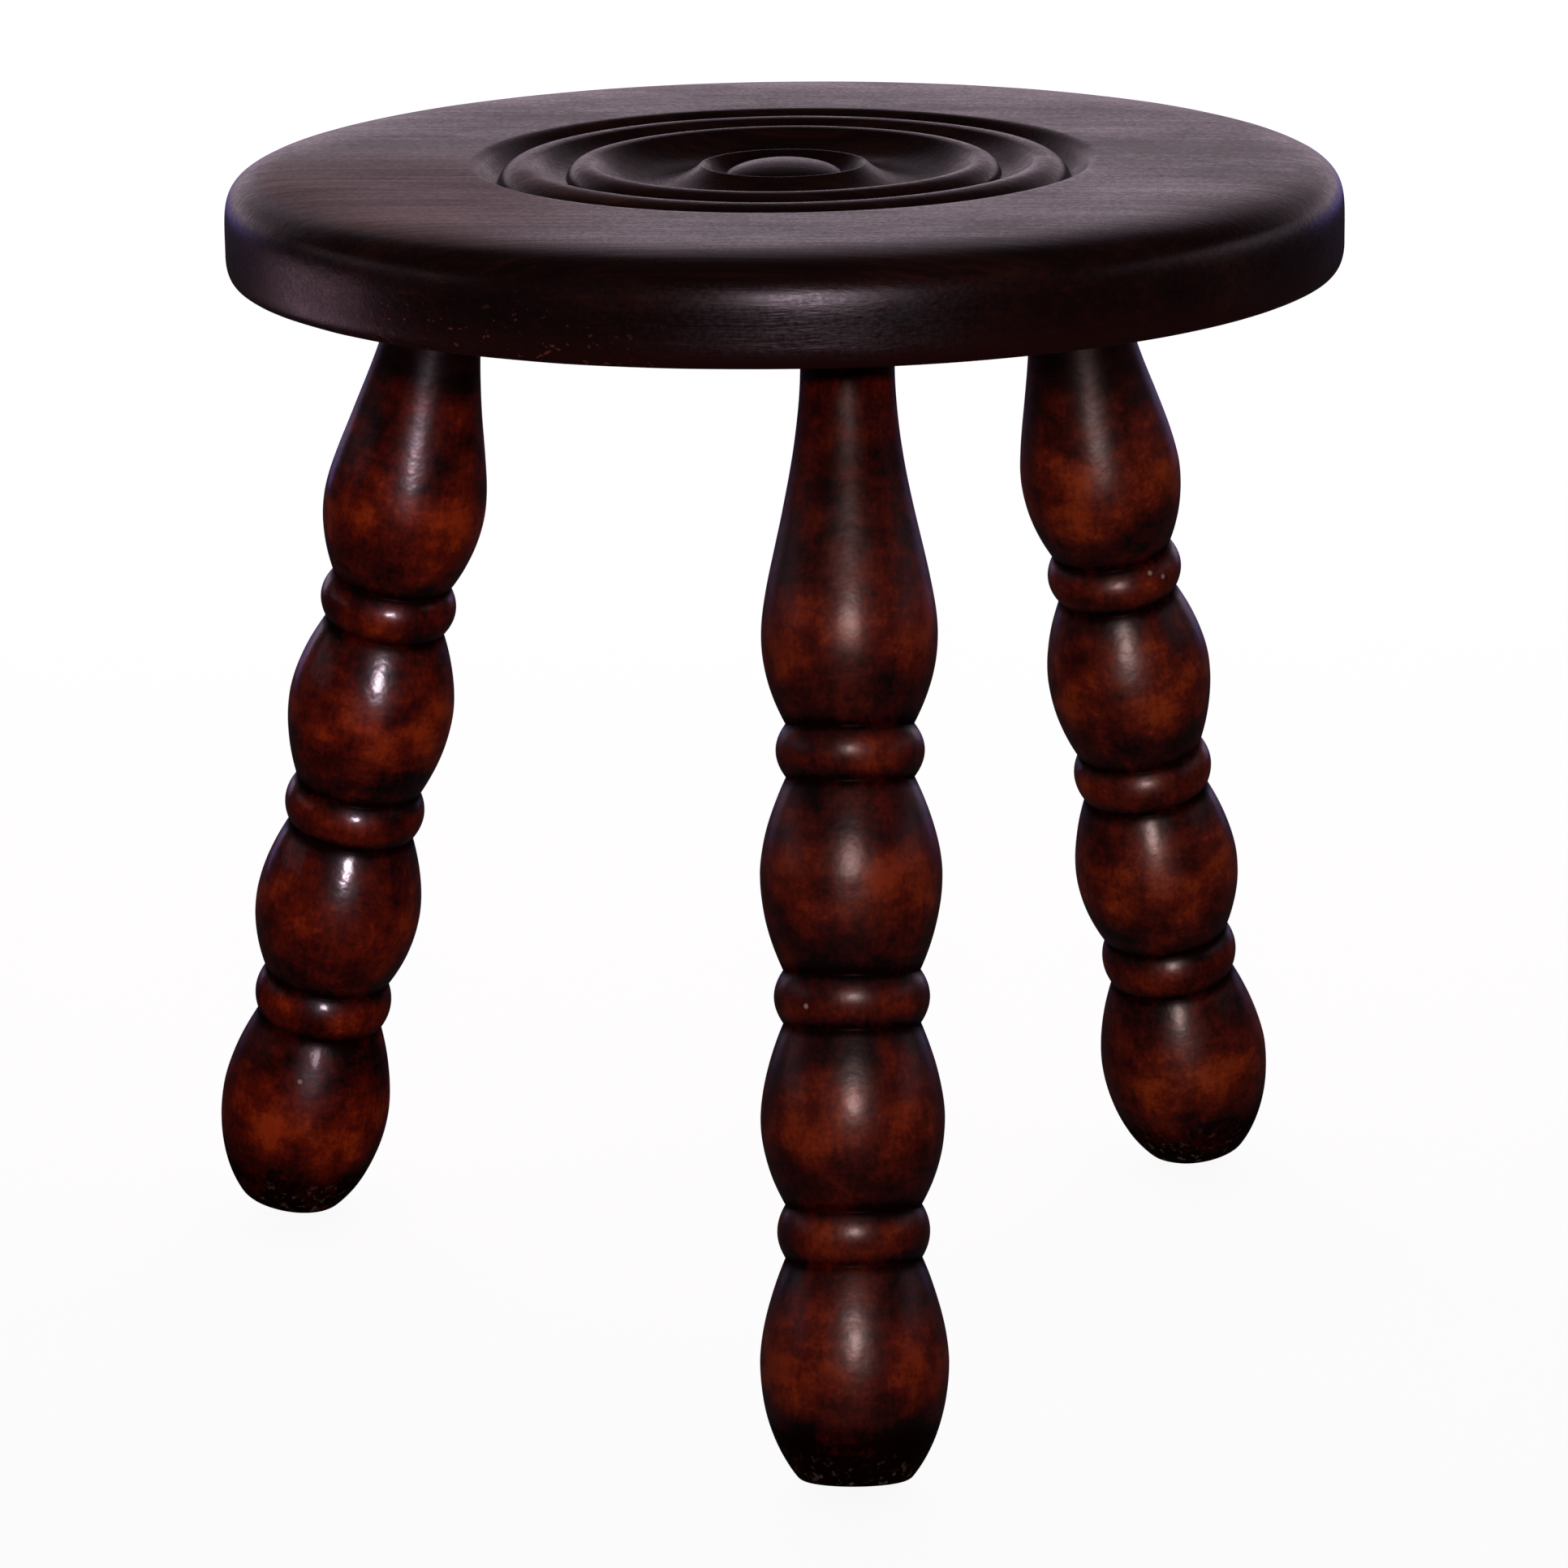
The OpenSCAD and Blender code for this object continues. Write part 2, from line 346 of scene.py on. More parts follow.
def bead_and_bulbs(i):
    """One bead with the halves of the bulbs above and below it."""
    above = BEADS[i][0] - BEAD_HALF
    below = BEADS[i][0] + BEAD_HALF
    groove = GROOVE_R[i]
    points = swell(BULBS[i], above, groove, 2, BULB_STEPS)[1:]
    points += swell(BEADS[i], above, groove, 2, BEAD_STEPS)[-2::-1]
    points += swell(BEADS[i], below, groove, 2, BEAD_STEPS)[1:]
    points += swell(BULBS[i + 1], below, groove, 1.75, BULB_STEPS)[-2::-1]
    return points


def leg_section():
    """Half section of a leg, tenon up, in millimetres; the seat's underside is at zero."""
    at, radius = BULBS[-1]
    points = [(0, TENON), (NECK_R - TENON_CHAMFER, TENON), (NECK_R, TENON - TENON_CHAMFER)]
    points += neck_curve()
    for i in range(len(BEADS)):
        points += bead_and_bulbs(i)
    side = LEG_LENGTH - FOOT_EASE[1] - at
    for i in range(1, FOOT_STEPS + 1):
        below = side * math.sin(math.pi / 2 * i / FOOT_STEPS)
        points.append((radius * math.sqrt(1 - (below / FOOT_LENGTH) ** 2), -at - below))
    end_r = radius * math.sqrt(1 - ((LEG_LENGTH - at) / FOOT_LENGTH) ** 2)
    points += arc(points[-1], (end_r - FOOT_EASE[0], -LEG_LENGTH), FOOT_EASE_RISE, 6)
    points.append((0, -LEG_LENGTH))
    return points


# -------------------------------------------------------------------- meshes
def lathe(section, segments):
    """A closed solid of revolution about Z, from a half section in millimetres."""
    bm = bmesh.new()
    rings = []
    for radius, height in section:
        if radius < 1e-6:
            rings.append([bm.verts.new((0, 0, height * MM))])
            continue
        ring = []
        for k in range(segments):
            a = 2 * math.pi * k / segments
            x = radius * math.cos(a) * MM
            y = radius * math.sin(a) * MM
            ring.append(bm.verts.new((x, y, height * MM)))
        rings.append(ring)
    for upper, lower in zip(rings, rings[1:]):
        for k in range(segments):
            n = (k + 1) % segments
            corners = [upper[k % len(upper)], lower[k % len(lower)]]
            corners += [lower[n % len(lower)], upper[n % len(upper)]]
            bm.faces.new(list(dict.fromkeys(corners)))
    bmesh.ops.recalc_face_normals(bm, faces=bm.faces)
    return bm


def cut_flat(bm, point, normal):
    """Removes what lies beyond a plane and closes the cut."""
    everything = bm.verts[:] + bm.edges[:] + bm.faces[:]
    result = bmesh.ops.bisect_plane(
        bm, geom=everything, dist=1e-7, plane_co=point, plane_no=normal, clear_outer=True
    )
    edges = [e for e in result["geom_cut"] if isinstance(e, bmesh.types.BMEdge)]
    bmesh.ops.holes_fill(bm, edges=edges, sides=0)


def as_object(name, bm):
    """A new scene object from a bmesh, which is freed."""
    mesh = bpy.data.meshes.new(name)
    bm.to_mesh(mesh)
    bm.free()
    obj = bpy.data.objects.new(name, mesh)
    bpy.context.scene.collection.objects.link(obj)
    return obj


def cylinder(name, radius, length, place):
    """A plain round cutter along its own Z, centred where place puts it."""
    bm = bmesh.new()
    bmesh.ops.create_cone(
        bm, cap_ends=True, segments=96, radius1=radius * MM, radius2=radius * MM, depth=length * MM
    )
    bm.transform(place)
    return as_object(name, bm)


def subtract(obj, cutters):
    """Cuts the cutters out of obj for good; the cutters themselves are left alone."""
    for cutter in cutters:
        modifier = obj.modifiers.new(cutter.name, "BOOLEAN")
        modifier.operation = "DIFFERENCE"
        modifier.solver = "EXACT"
        modifier.object = cutter
    bpy.context.view_layer.update()
    evaluated = obj.evaluated_get(bpy.context.evaluated_depsgraph_get())
    solid = bpy.data.meshes.new_from_object(evaluated)
    obj.modifiers.clear()
    obj.data = solid


def remove(objects):
    for obj in objects:
        bpy.data.objects.remove(obj)


def smooth(obj, sharp_angle):
    """Smooth shading, with edges sharper than the angle kept crisp."""
    for polygon in obj.data.polygons:
        polygon.use_smooth = True
    obj.data.set_sharp_from_angle(angle=math.radians(sharp_angle))


def paint(obj, material):
    """Gives an object one material and no other."""
    obj.data.materials.clear()
    obj.data.materials.append(material)


def write_vectors(obj, name, vectors):
    layer = obj.data.attributes.new(name, "FLOAT_VECTOR", "POINT")
    layer.data.foreach_set("vector", np.asarray(vectors, np.float32).ravel())


def write_values(obj, name, values):
    layer = obj.data.attributes.new(name, "FLOAT", "POINT")
    layer.data.foreach_set("value", np.asarray(values, np.float32))


def points_of(obj):
    co = np.zeros(len(obj.data.vertices) * 3)
    obj.data.vertices.foreach_get("co", co)
    return co.reshape(-1, 3)


# ---------------------------------------------------------------- leg places
def polar(azimuth, radius, height):
    """A point from an azimuth in degrees, a radius in millimetres and a height in metres."""
    az = math.radians(azimuth)
    return Vector((radius * MM * math.cos(az), radius * MM * math.sin(az), height))


def leg_place(leg):
    """Turns and moves a leg from the lathe, where it hangs along -Z, to its place."""
    top = polar(LEG_TOP_AZ[leg], LEG_TOP_R[leg], UNDERSIDE_Z)
    run = polar(LEG_FOOT_AZ[leg], LEG_FOOT_R[leg], 0) - top
    az = math.atan2(run.y, run.x)
    splay = math.acos(-run.z / run.length)
    turn = Matrix.Rotation(az, 4, "Z") @ Matrix.Rotation(-splay, 4, "Y")
    return Matrix.Translation(top) @ turn


# --------------------------------------------------------------------- seat
def worn_top(bm):
    """Gives the turned blank the faint hollows and swells of worn wood, and an uneven rim."""
    for v in bm.verts:
        p = v.co
        broad = noise.noise(Vector((p.x * 22, p.y * 30, 3.1)))
        fine = noise.noise(Vector((p.x * 60, p.y * 140, 9.4)))
        v.co.z += (TOP_WEAR_BROAD * broad + TOP_WEAR_FINE * fine) * MM
        swing = 1 + 0.0006 * noise.noise(Vector((p.x * 14, p.y * 14, p.z * 30 + 5.0)))
        v.co.x *= swing
        v.co.y *= swing


def joint_plane():
    """A point of the glued joint and its normal, which points to the back."""
    point = GRAIN @ Vector((0, JOINT_Y, 0))
    normal = GRAIN.to_3x3() @ Vector((0, 1, 0))
    return point, normal


def dowel_holes():
    """Cutters for the holes across the joint, one round each dowel."""
    turn = Matrix.Rotation(math.radians(90), 4, "X")
    holes = []
    for name in ("dowel_left", "dowel_middle", "dowel_right"):
        low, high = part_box(name)
        centre = Matrix.Translation((low + high) / 2)
        place = centre @ GRAIN @ turn
        holes.append(cylinder("hole_" + name, DOWEL_HOLE_R, DOWEL_HOLE_LENGTH, place))
    return holes


def mortises(legs):
    """Cutters for the blind mortises of the given legs."""
    middle = Matrix.Translation((0, 0, (MORTISE_DEPTH - SEAT_T) / 2 * MM))
    length = MORTISE_DEPTH + SEAT_T
    return [
        cylinder("mortise_" + LEG_SIDES[leg], MORTISE_R, length, leg_place(leg) @ middle)
        for leg in legs
    ]


def seat_board(name, side, legs, material):
    """One seat board: side is 1 for the back and -1 for the front; legs stand in it."""
    bm = lathe(refined(seat_section(), SEAT_STEP), SEAT_SEGMENTS)
    bm.transform(Matrix.Translation((0, 0, TOP_Z)))
    worn_top(bm)
    point, normal = joint_plane()
    cut_flat(bm, point, normal * -side)
    board = as_object(name, bm)
    cutters = mortises(legs) + dowel_holes()
    subtract(board, cutters)
    remove(cutters)
    smooth(board, SEAT_CRISP)
    turned = np.array(GRAIN.inverted().to_3x3())
    write_vectors(board, "grain", points_of(board) @ turned.T)
    paint(board, material)
    return board


# --------------------------------------------------------------------- legs
def hand_turned(bm, seed):
    """Tool marks and slight unevenness, which keep the leg from being perfectly round."""
    for v in bm.verts:
        r = math.hypot(v.co.x, v.co.y)
        if r < 1e-5:
            continue
        a = math.atan2(v.co.y, v.co.x)
        round_trip = Vector((math.cos(a) * 1.3, math.sin(a) * 1.3, v.co.z * 45 + seed))
        dents = Vector((v.co.x * 170, v.co.y * 170, v.co.z * 110 + seed))
        swing = (LEG_SWING * noise.noise(round_trip) + LEG_DENTS * noise.noise(dents)) * MM
        v.co.x *= 1 + swing / r
        v.co.y *= 1 + swing / r


def stain_and_shade_along(heights):
    """How much red-brown shows at each distance down a leg: most on a crown, least in a groove; partly
    stain, partly painted light and shade.
    """
    stain_and_shade = np.full(len(heights), WARM_LEAST)
    # Painted light on each crown, fading faster below it than above.
    for at, _ in BULBS:
        past = heights - at
        reach = np.where(past < 0, CROWN_REACH_UP, CROWN_REACH_DOWN)
        stain_and_shade = np.maximum(stain_and_shade, WARM_SLOPE + (1 - WARM_SLOPE) * np.exp(-((past / reach) ** 2)))
    stain_and_shade = np.where(heights > BULBS[0][0], stain_and_shade, np.maximum(stain_and_shade, WARM_NECK))
    for at, _ in BEADS:
        stain_and_shade = np.where(abs(heights - at) < BEAD_HALF, WARM_BEAD, stain_and_shade)
        # Painted shade in the grooves beside each bead.
        for groove in (at - BEAD_HALF, at + BEAD_HALF):
            stain_and_shade = stain_and_shade * (1 - 0.9 * np.exp(-(((heights - groove) / GROOVE_SHADE_REACH) ** 2)))
    # Painted shade down the foot.
    foot = np.clip((heights - BULBS[-1][0] - FOOT_SHADE_FROM) / FOOT_SHADE_OVER, 0, 1)
    return stain_and_shade * (1 - 0.95 * foot)


def leg_piece(name, leg, material):
    """One turned leg, cut flat on the floor, with a kerf for its wedge."""
    place = leg_place(leg)
    bm = lathe(refined(leg_section(), LEG_STEP), LEG_SEGMENTS)
    hand_turned(bm, 3.7 * leg)
    floor_point = place.inverted() @ Vector((0, 0, 0))
    floor_normal = place.to_3x3().inverted() @ Vector((0, 0, -1))
    cut_flat(bm, floor_point, floor_normal)
    bm.transform(place)
    obj = as_object(name, bm)
    subtract(obj, [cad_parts["wedge_" + LEG_SIDES[leg]]])
    smooth(obj, LEG_CRISP)
    back = np.array(place.inverted())
    world = points_of(obj)
    local = world @ back[:3, :3].T + back[:3, 3]
    write_vectors(obj, "turned", local)
    # Stain with painted light on the crowns and painted shade in the grooves and down the foot.
    write_values(obj, "stain_and_shade", stain_and_shade_along(-local[:, 2] / MM))
    write_values(obj, "worn", np.clip(1 - world[:, 2] / (FOOT_WEAR_H * MM), 0, 1))
    paint(obj, material)
    return obj


# ---------------------------------------------------------------- materials
class Tree:
    """Adds and links the shader nodes of one material."""

    def __init__(self, name):
        self.material = bpy.data.materials.new(name)
        self.material.use_nodes = True
        self.nodes = self.material.node_tree.nodes
        self.links = self.material.node_tree.links
        self.shader = self.nodes["Principled BSDF"]

    def feed(self, socket, value):
        if isinstance(value, bpy.types.NodeSocket):
            self.links.new(value, socket)
        else:
            socket.default_value = value

    def add(self, kind, inputs=None, **settings):
        node = self.nodes.new("ShaderNode" + kind)
        for key, value in settings.items():
            setattr(node, key, value)
        for key, value in (inputs or {}).items():
            self.feed(node.inputs[key], value)
        return node

    def attribute(self, name, output):
        return self.add("Attribute", attribute_name=name).outputs[output]

    def math(self, operation, a, b):
        return self.add("Math", {0: a, 1: b}, operation=operation).outputs[0]

    def height(self, at):
        return self.add("SeparateXYZ", {0: at}).outputs["Z"]

    def noise(self, at, scale, shift, detail, roughness=0.5, distortion=0.0):
        """Noise with scale cells to a metre along each axis, moved by shift cells."""
        moved = self.add("Mapping", {"Vector": at, "Scale": scale, "Location": shift})
        inputs = {"Vector": moved.outputs["Vector"], "Scale": 1.0, "Detail": detail}
        inputs.update({"Roughness": roughness, "Distortion": distortion})
        return self.add("TexNoise", inputs).outputs["Fac"]

    def span(self, value, low, high, to_low=0.0, to_high=1.0):
        """An S curve from to_low at low to to_high at high, flat beyond both."""
        inputs = {"Value": value, "From Min": low, "From Max": high}
        inputs.update({"To Min": to_low, "To Max": to_high})
        return self.add("MapRange", inputs, interpolation_type="SMOOTHSTEP").outputs["Result"]

    def patch(self, at, centre, reach, ragged=0.0):
        """1 near a point and 0 away from it; reach is where it starts to fade and where it ends."""
        away = self.add("VectorMath", {0: at, 1: centre}, operation="DISTANCE").outputs["Value"]
        return self.span(self.math("ADD", away, ragged), *reach, 1, 0)

    def vary(self, pattern, low, high):
        """A value that follows a noise from low to high."""
        return self.span(pattern, 0.3, 0.7, low, high)

    def ramp(self, value, stops):
        """A colour read from stops, each a place and its colour."""
        node = self.add("ValToRGB", {"Fac": value})
        ramp = node.color_ramp
        while len(ramp.elements) < len(stops):
            ramp.elements.new(0.5)
        for element, (place, colour) in zip(ramp.elements, stops):
            element.position = place
            element.color = (*colour, 1)
        return node.outputs["Color"]

    def blend(self, factor, a, b):
        """Colour a where factor is 0 and b where it is 1."""
        node = self.add("Mix", data_type="RGBA", blend_type="MIX")
        for socket, value in ((0, factor), (6, a), (7, b)):
            colour = (*value, 1) if isinstance(value, tuple) else value
            self.feed(node.inputs[socket], colour)
        return node.outputs[2]

    def bump(self, height, distance, under=None):
        """A normal from a height map; distance is the height of its full range in metres."""
        inputs = {"Height": height, "Distance": distance, "Strength": 1.0}
        if under is not None:
            inputs["Normal"] = under
        return self.add("Bump", inputs).outputs["Normal"]

    def finish(self, **inputs):
        """Feeds the shader and returns the material; _ stands for a space in a socket's name."""
        for key, value in inputs.items():
            self.feed(self.shader.inputs[key.replace("_", " ")], value)
        return self.material


def rubbed_part(tree, at, height, clouds):
    """1 where hands have rubbed the flat top, with a ragged edge, and 0 elsewhere."""
    near = tree.patch(at, RUBBED_AT, RUBBED_REACH, tree.math("MULTIPLY", clouds, 0.05))
    on_top = tree.span(height, TOP_Z - 0.0025, TOP_Z - 0.0005)
    return tree.math("MULTIPLY", near, on_top)


def chipped_part(tree, at, height, seed):
    """1 in the flecks of lost stain on the rim, which lie mostly along its lower edge."""
    near = tree.patch(at, CHIPPED_AT, CHIPPED_REACH)
    low = tree.span(height, UNDERSIDE_Z + 0.006, UNDERSIDE_Z + 0.016, 1, 0.1)
    flecks = tree.noise(at, (420, 640, 640), (seed, 1, 1), 2)
    return tree.math("MULTIPLY", tree.math("MULTIPLY", near, low), tree.span(flecks, 0.64, 0.70))


def seat_gloss(tree, streaks, clouds, specks, rubbed):
    """Roughness of the seat: uneven, and duller where it is rubbed."""
    gloss = tree.vary(streaks, 0.025, -0.025)
    gloss = tree.math("ADD", gloss, tree.vary(clouds, 0.25, 0.34))
    gloss = tree.math("ADD", gloss, tree.vary(specks, -0.045, 0.045))
    return tree.math("ADD", gloss, tree.math("MULTIPLY", rubbed, 0.12))


def seat_wood(name, seed, light):
    """Dark stained, worn satin wood with its grain along the joint."""
    tree = Tree(name)
    at = tree.attribute("grain", "Vector")
    height = tree.height(at)
    streaks = tree.noise(at, (14, 420, 420), (seed, 0, 0), 5, 0.6, 0.3)
    bands = tree.noise(at, (5, 60, 60), (seed, 3, 0), 3, 0.5, 0.4)
    pores = tree.noise(at, (90, 1900, 1900), (seed, 0, 5), 2)
    clouds = tree.noise(at, (18, 34, 34), (seed, 7, 0), 4, 0.6)
    specks = tree.noise(at, (700, 900, 900), (seed, 9, 0), 2, 0.6)
    rubbed = rubbed_part(tree, at, height, clouds)
    tone = tree.math("ADD", tree.math("MULTIPLY", streaks, 0.5), tree.math("MULTIPLY", bands, 0.5))
    wood = tree.ramp(tone, [(place, tuple(light * c for c in colour)) for place, colour in SEAT_STAIN])
    low_rim = tree.span(height, UNDERSIDE_Z, UNDERSIDE_Z + 0.012, 0.7, 0)
    wood = tree.blend(low_rim, wood, LOW_RIM_STAIN)
    bared = tree.math("MULTIPLY", rubbed, tree.span(tone, 0.35, 0.65, 0.25, 0.75))
    wood = tree.blend(bared, wood, RUBBED_WOOD)
    wood = tree.blend(chipped_part(tree, at, height, seed), wood, CHIPPED_RIM)
    return tree.finish(
        Base_Color=wood,
        Roughness=seat_gloss(tree, streaks, clouds, specks, rubbed),
        Normal=tree.bump(pores, 0.00003, under=tree.bump(streaks, 0.00008)),
        IOR=1.45,
        Specular_IOR_Level=tree.span(rubbed, 0, 1, 0.5, 0.40),
    )


def leg_colour(tree, at, tone, tint, seed, chips):
    """Stain and painted light and shade by tone, with bare flecks round the worn foot and the chips
    that the photo shows.
    """
    stain_and_shade_stops = [(place, tuple(c * t for c, t in zip(colour, tint))) for place, colour in LEG_STAIN_AND_SHADE]
    # The dark end of the ramp is painted shade and the bright end painted light.
    wood = tree.ramp(tone, stain_and_shade_stops)
    flecks = tree.noise(at, (420, 420, 420), (seed, 6, 0), 3, 0.6)
    worn = tree.attribute("worn", "Fac")
    bare = tree.math("MULTIPLY", worn, tree.span(flecks, 0.57, 0.64))
    wood = tree.blend(bare, wood, WORN_FOOT)
    for chip in chips:
        wood = tree.blend(tree.patch(at, chip, CHIP_REACH), wood, CHIPPED_LEG)
    return wood


def varnish_weight(tree, height, stain_and_shade, scuffed):
    """How much varnish shows: little on the neck, none in the grooves, less on a scuffed end."""
    on_crowns = tree.span(stain_and_shade, 0.10, 0.38, 0.0, 0.6)
    below_neck = tree.span(height, -0.062, -0.03, 0.6, 0.1)
    scuffs = tree.span(height, -0.235, -0.215, 1 - scuffed, 1)
    return tree.math("MULTIPLY", tree.math("MINIMUM", on_crowns, below_neck), scuffs)


def varnish_gloss(tree, height, gloss):
    """Roughness of the varnish: duller up the neck and shinier on the lower bulbs."""
    neck = tree.span(height, -BULBS[0][0] * MM, -0.03, gloss, gloss + 0.16)
    return tree.math("ADD", neck, tree.span(height, -0.20, -0.14, -0.035, 0))


def body_sheen(tree, height, stain_and_shade):
    """Sheen of the wood under the varnish: dull in the grooves and on the neck."""
    on_crowns = tree.span(stain_and_shade, 0.05, 0.30, 0.06, 0.5)
    return tree.math("MULTIPLY", on_crowns, tree.span(height, -0.075, -0.03, 1, 0.5))


def leg_wood(name, leg, chips):
    """Mottled red-brown stain under varnish on a turned leg, with painted light on its crowns and
    painted shade in its grooves and down its foot.
    """
    tree = Tree(name)
    seed = 5.0 * leg
    at = tree.attribute("turned", "Vector")
    stain_and_shade = tree.attribute("stain_and_shade", "Fac")
    height = tree.height(at)
    blotch = tree.noise(at, (80, 80, 100), (seed, 0, 0), 4, 0.55, 0.1)
    figure = tree.noise(at, (60, 60, 420), (seed, 2, 0), 4, 0.6, 0.2)
    fibre = tree.noise(at, (520, 520, 130), (seed, 4, 0), 3, 0.6)
    specks = tree.noise(at, (800, 800, 800), (seed, 5, 0), 2, 0.6)
    dents = tree.noise(at, (230, 230, 260), (seed, 8, 0), 2)
    # The tone carries the painted light and shade of the crowns, grooves and foot.
    tone = tree.math("MULTIPLY", stain_and_shade, 0.62)
    for pattern, weight in ((blotch, 1.4), (figure, 0.25), (fibre, 0.35), (specks, 0.45)):
        part = tree.math("MULTIPLY", tree.math("SUBTRACT", pattern, 0.5), weight)
        tone = tree.math("ADD", tone, part)
    dented = tree.bump(dents, 0.00012)
    return tree.finish(
        Base_Color=leg_colour(tree, at, tone, LEG_TINT[leg], seed, chips),
        Roughness=tree.vary(blotch, 0.36, 0.44),
        Normal=tree.bump(fibre, 0.00002, under=dented),
        IOR=LEG_BODY[leg],
        Specular_IOR_Level=body_sheen(tree, height, stain_and_shade),
        Coat_Weight=varnish_weight(tree, height, stain_and_shade, LEG_SCUFFS[leg]),
        Coat_Roughness=varnish_gloss(tree, height, LEG_GLOSS[leg]),
        Coat_IOR=1.5,
        Coat_Normal=dented,
    )


def bare_wood(name):
    """Unfinished pale hardwood for the hidden dowels and wedges."""
    tree = Tree(name)
    at = tree.add("TexCoord").outputs["Object"]
    fibre = tree.noise(at, (900, 120, 900), (0, 0, 0), 4, 0.6)
    wood = tree.ramp(fibre, ((0.3, (0.42, 0.26, 0.13)), (0.7, (0.60, 0.42, 0.24))))
    normal = tree.bump(fibre, 0.00005)
    rough = tree.vary(fibre, 0.62, 0.78)
    return tree.finish(Base_Color=wood, Roughness=rough, Normal=normal)


# --------------------------------------------------------------------- stage
def floor_material():
    """A pale floor that glows, so that it stays nearly white whatever the lights do."""
    tree = Tree("pale_floor")
    return tree.finish(
        Base_Color=(0.86, 0.86, 0.87, 1), Roughness=0.9,
        Emission_Color=(1, 1, 1, 1), Emission_Strength=FLOOR_GLOW,
    )


def make_floor():
    """A wide floor for the camera, which neither lights the stool nor blocks a light."""
    bm = bmesh.new()
    bmesh.ops.create_grid(bm, x_segments=2, y_segments=2, size=FLOOR_HALF)
    bm.transform(Matrix.Translation((0, 0, FLOOR_Z)))
    floor = as_object("floor", bm)
    floor.data.materials.append(floor_material())
    floor.visible_glossy = False
    floor.visible_diffuse = False
    floor.visible_shadow = False


def soft_box(name, turn, elevation, distance, size, radiance, colour):
    """A rectangular soft light, aimed at the stool from where its angles say.

    turn is in degrees from the camera's side and elevation in degrees above the floor;
    radiance is that of the light's face, so its brightness doesn't change with its size.
    """
    light = bpy.data.lights.new(name, "AREA")
    light.shape = "RECTANGLE"
    light.size, light.size_y = size
    light.energy = radiance * math.pi * size[0] * size[1]
    light.color = colour
    obj = bpy.data.objects.new(name, light)
    bpy.context.scene.collection.objects.link(obj)
    az = CAMERA_TURN - math.pi / 2 + math.radians(turn)
    el = math.radians(elevation)
    way = Vector((math.cos(az) * math.cos(el), math.sin(az) * math.cos(el), math.sin(el)))
    obj.location = Vector((0, 0, LIGHT_AIM_Z)) + way * distance
    obj.rotation_euler = (-way).to_track_quat("-Z", "Y").to_euler()
    obj.visible_camera = False
    return obj


def shine_on(light, pieces):
    """Keeps a light to some of the pieces."""
    lit = bpy.data.collections.new(light.name + "_lit")
    for piece in pieces:
        lit.objects.link(piece)
    light.light_linking.receiver_collection = lit


def make_world():
    """A plain pale backdrop for the camera, and a weak tinted light for everything else."""
    world = bpy.data.worlds.new("studio")
    bpy.context.scene.world = world
    world.use_nodes = True
    nodes = world.node_tree.nodes
    links = world.node_tree.links
    seen = nodes["Background"]
    seen.inputs["Color"].default_value = BACKDROP
    ambient = nodes.new("ShaderNodeBackground")
    ambient.inputs["Color"].default_value = AMBIENT
    ambient.inputs["Strength"].default_value = AMBIENT_STRENGTH
    path = nodes.new("ShaderNodeLightPath")
    mix = nodes.new("ShaderNodeMixShader")
    links.new(path.outputs["Is Camera Ray"], mix.inputs[0])
    links.new(ambient.outputs[0], mix.inputs[1])
    links.new(seen.outputs[0], mix.inputs[2])
    links.new(mix.outputs[0], nodes["World Output"].inputs["Surface"])


def light_back():
    """Long strips behind the stool, which put the sheen on the top and the thin edge lights."""
    soft_box("back_low", 180, 8, FAR, (6.0, 0.74), 0.85, LAVENDER)
    soft_box("back_high", 180, 25, FAR, (6.0, 1.05), 0.22, LAVENDER)
    soft_box("back_floor", 180, -3, FAR, (6.0, 0.30), 0.6, BLUE)


def light_rim(boards):
    """Lights of the seat alone: its two ends and the bright spot on the front of its rim."""
    shine_on(soft_box("side_left", -109, -15, FAR, (1.6, 0.9), 1.0, ROSE), boards)
    shine_on(soft_box("side_right", 110, 8, FAR, (2.0, 0.7), 0.3, LAVENDER), boards)
    shine_on(soft_box("rim_key", 4, 9, 2.2, (0.46, 0.31), 34, LAVENDER), boards)


def light_legs(legs):
    """A highlight for each leg, and one flash from over the camera for their colour."""
    for leg, (turn, elevation, radiance, colour) in zip(legs, LEG_KEYS):
        key = soft_box(leg.name + "_key", turn, elevation, NEAR, LEG_KEY_SIZE, radiance, colour)
        key.visible_diffuse = False
        shine_on(key, [leg])
    flash = soft_box("flash", 1.5, 16, NEAR, (0.13, 0.13), 270, WARM)
    flash.visible_glossy = False
    shine_on(flash, legs)


def light_sides(boards, legs):
    """Weak lights for the sides, the back and the top, which matter away from the photo's view."""
    soft_box("left", -90, 14, FAR, (2.6, 0.6), 0.28, LAVENDER)
    soft_box("right", 90, 14, FAR, (2.6, 0.6), 0.28, LAVENDER)
    rear = soft_box("rear_fill", 180, 8, FAR, (3.0, 1.5), 1.6, WARM)
    rear.visible_glossy = False
    shine_on(rear, legs + boards)
    top = soft_box("top", 0, 89, 2.2, (3, 3), 0.35, WARM)
    top.visible_glossy = False
    shine_on(top, boards)


def make_lights(boards, legs):
    light_back()
    light_rim(boards)
    light_legs(legs)
    light_sides(boards, legs)


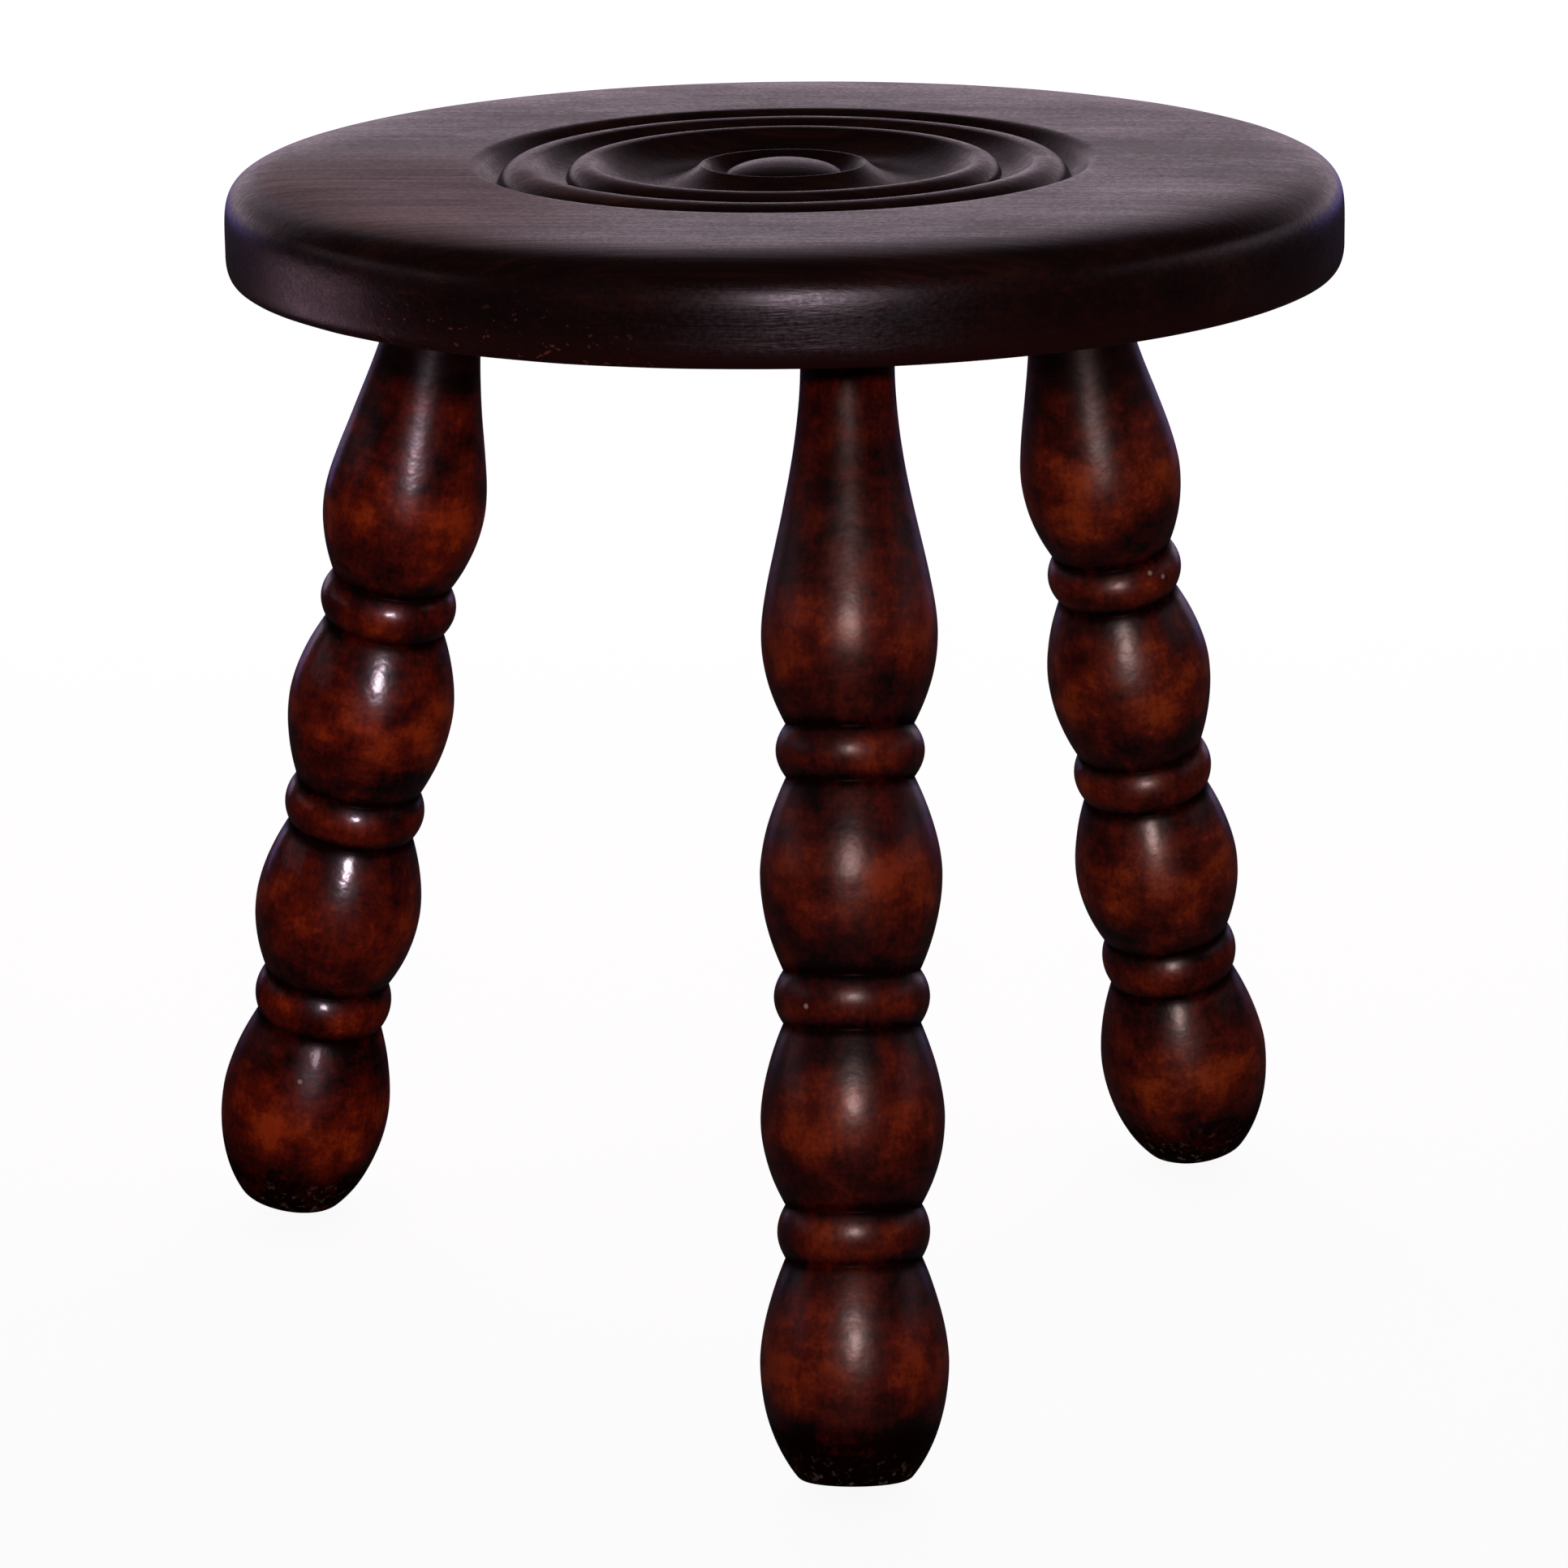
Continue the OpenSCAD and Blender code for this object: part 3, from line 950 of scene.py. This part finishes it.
def make_camera():
    """A camera at the place and with the lens fitted to the photo."""
    turn = Matrix.Rotation(CAMERA_TURN, 4, "Z")
    at = turn @ CAMERA_AT
    aim = turn @ CAMERA_AIM
    data = bpy.data.cameras.new("camera")
    data.lens = CAMERA_LENS
    data.sensor_width = CAMERA_SENSOR
    camera = bpy.data.objects.new("camera", data)
    bpy.context.scene.collection.objects.link(camera)
    look = (aim - at).to_track_quat("-Z", "Y").to_matrix().to_4x4()
    camera.matrix_world = Matrix.Translation(at) @ look @ Matrix.Rotation(CAMERA_ROLL, 4, "Z")
    bpy.context.scene.camera = camera


# --------------------------------------------------------------------- build
def build_seat():
    """The two boards, each in place of its CAD node."""
    built = []
    boards = (
        ("back_board", "seat_board_back", 1, (1, 2), seat_wood("seat_wood_back", 0.0, 1.0)),
        ("front_board", "seat_board_front", -1, (0,), seat_wood("seat_wood_front", 4.0, 1.15)),
    )
    for name, node, side, legs, material in boards:
        board = seat_board(name, side, legs, material)
        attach(board, "root")
        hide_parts(node)
        built.append(board)
    return built


def chips_by_leg():
    """The chips of each leg, as points on the surface of the leg as it hangs on the lathe."""
    chips = [[] for side in LEG_SIDES]
    radii, heights = zip(*leg_section())
    for leg, down, angle in LEG_CHIPS:
        radius = np.interp(down, [-height for height in heights], radii)
        chips[leg].append(polar(angle, radius, -down * MM))
    return chips


def build_legs():
    """The three legs, each in place of its CAD node."""
    built = []
    for leg, (side, chips) in enumerate(zip(LEG_SIDES, chips_by_leg())):
        obj = leg_piece(side + "_leg", leg, leg_wood("leg_wood_" + side, leg, chips))
        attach(obj, "root")
        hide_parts("leg_" + side)
        built.append(obj)
    return built


def build_joinery():
    """The CAD's own dowels and wedges, given a wood."""
    material = bare_wood("bare_wood")
    names = ["dowel_" + place for place in ("left", "middle", "right")]
    names += ["wedge_" + side for side in LEG_SIDES]
    for name in names:
        paint(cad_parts[name], material)


bpy.context.scene.view_settings.view_transform = "Standard"
make_camera()
make_world()
make_floor()
make_lights(build_seat(), build_legs())
build_joinery()
